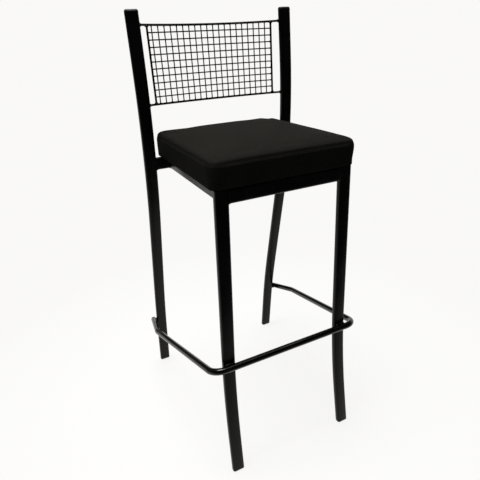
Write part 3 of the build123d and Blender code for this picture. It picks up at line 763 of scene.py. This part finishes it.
def white_sweep(name):
    """Pale floor that keeps soft shadows near the stool and fades into the white surround."""
    material, tree, surface, place = open_material(name)
    surface.inputs["Base Color"].default_value = (0.9, 0.9, 0.89, 1.0)
    surface.inputs["Roughness"].default_value = 0.9
    surface.inputs["Specular IOR Level"].default_value = 0.1
    away = put(tree, "ShaderNodeVectorMath", {0: place}, operation="LENGTH").outputs["Value"]
    near = spread(tree, away, 0.35, 1.0, 0.18, 0.0)
    ahead = put(tree, "ShaderNodeSeparateXYZ", {"Vector": place}).outputs["Y"]
    path = put(tree, "ShaderNodeLightPath")
    white = put(tree, "ShaderNodeEmission", {"Color": (0.95, 0.945, 0.932, 1.0),
                                             "Strength": spread(tree, away, 0.35, 1.0, 1.1, 1.0)})
    faded = put(tree, "ShaderNodeMixShader", {0: near, 1: white.outputs[0], 2: surface.outputs[0]})
    mirrored = put(tree, "ShaderNodeEmission", {"Color": (0.95, 0.94, 0.92, 1.0),
                                                "Strength": spread(tree, ahead, -0.9, -0.3, 0.03, 0.95)})
    bounced = put(tree, "ShaderNodeMixShader",
                  {0: path.outputs["Is Glossy Ray"], 1: surface.outputs[0], 2: mirrored.outputs[0]})
    shown = put(tree, "ShaderNodeMixShader",
                {0: path.outputs["Is Camera Ray"], 1: bounced.outputs[0], 2: faded.outputs[0]})
    beneath = put(tree, "ShaderNodeNewGeometry").outputs["Backfacing"]
    glass = put(tree, "ShaderNodeBsdfTransparent")
    one_way = put(tree, "ShaderNodeMixShader", {0: beneath, 1: shown.outputs[0], 2: glass.outputs[0]})
    tree.links.new(one_way.outputs[0], tree.nodes["Material Output"].inputs["Surface"])
    return material


floor_mesh = bpy.data.meshes.new("floor")
floor_half, floor_z = 8, -0.0004
floor_mesh.from_pydata([(-floor_half, -floor_half, floor_z), (floor_half, -floor_half, floor_z),
                        (floor_half, floor_half, floor_z), (-floor_half, floor_half, floor_z)], [], [(0, 1, 2, 3)])
floor = bpy.data.objects.new("floor", floor_mesh)
bpy.context.scene.collection.objects.link(floor)
floor_mesh.materials.append(white_sweep("white_sweep"))

surround = bpy.data.worlds.new("surround")
bpy.context.scene.world = surround
surround.use_nodes = True
sky = surround.node_tree
plain = sky.nodes["Background"]
plain.inputs["Color"].default_value = (0.95, 0.945, 0.932, 1.0)
plain.inputs["Strength"].default_value = 1.0
way = put(sky, "ShaderNodeSeparateXYZ", {"Vector": put(sky, "ShaderNodeTexCoord").outputs["Generated"]})
open_side = spread(sky, way.outputs["Y"], -0.6, 0.4, 0.1, 0.55)
from_above = spread(sky, way.outputs["Z"], 0.0, 0.8, 0.3, 1.1)
fill = put(sky, "ShaderNodeMath", {0: open_side, 1: from_above}, operation="MULTIPLY").outputs[0]
soft_fill = put(sky, "ShaderNodeBackground", {"Color": (0.95, 0.97, 1.0, 1.0), "Strength": fill})
behind = spread(sky, way.outputs["Y"], -0.3, 0.3, 0.05, 1.0)
skyline = put(sky, "ShaderNodeMath", {0: way.outputs["X"], 1: -0.45, 2: way.outputs["Z"]},
              operation="MULTIPLY_ADD").outputs[0]
below_ceiling = spread(sky, skyline, 0.0, 0.07, 1.0, 0.06)
wall = put(sky, "ShaderNodeMath", {0: behind, 1: below_ceiling}, operation="MULTIPLY").outputs[0]
room = put(sky, "ShaderNodeBackground", {"Color": (0.95, 0.935, 0.905, 1.0), "Strength": wall})
rays = put(sky, "ShaderNodeLightPath")
reflected = put(sky, "ShaderNodeMath", {0: rays.outputs["Is Glossy Ray"], 1: rays.outputs["Is Transmission Ray"]},
                operation="MAXIMUM").outputs[0]
glossy = put(sky, "ShaderNodeMixShader", {0: reflected, 1: soft_fill.outputs[0], 2: room.outputs[0]})
seen_white = put(sky, "ShaderNodeMixShader",
                 {0: rays.outputs["Is Camera Ray"], 1: glossy.outputs[0], 2: plain.outputs[0]})
sky.links.new(seen_white.outputs[0], sky.nodes["World Output"].inputs["Surface"])

for name, width, depth, power, spot in (("overhead", 2.6, 2.0, 20.0, (0.1, 0.2, 3.0)),
                                        ("softbox", 1.2, 0.6, 30.0, (-0.5, 0.0, 2.6))):
    panel = bpy.data.lights.new(name, "AREA")
    panel.shape = "RECTANGLE"
    panel.size, panel.size_y, panel.energy = width, depth, power
    lamp = bpy.data.objects.new(name, panel)
    lamp.location = spot
    bpy.context.scene.collection.objects.link(lamp)

lens = bpy.data.cameras.new("camera")
lens.sensor_width, lens.lens = 36.0, 32.216
lens.clip_start, lens.clip_end = 0.05, 40.0
camera = bpy.data.objects.new("camera", lens)
yaw, pitch, roll = radians(-25.10), radians(-24.89), radians(-2.76)
look = Vector((-sin(yaw) * cos(pitch), cos(yaw) * cos(pitch), sin(pitch)))
level_right = Vector((cos(yaw), sin(yaw), 0))
level_up = level_right.cross(look)
right = level_right * cos(roll) + level_up * sin(roll)
upright = level_up * cos(roll) - level_right * sin(roll)
stand = Matrix((right, upright, -look)).transposed().to_4x4()
stand.translation = (-0.4466, -0.93456, 0.97823)
camera.matrix_world = stand
bpy.context.scene.collection.objects.link(camera)
bpy.context.scene.camera = camera
bpy.context.scene.view_settings.view_transform = "Standard"
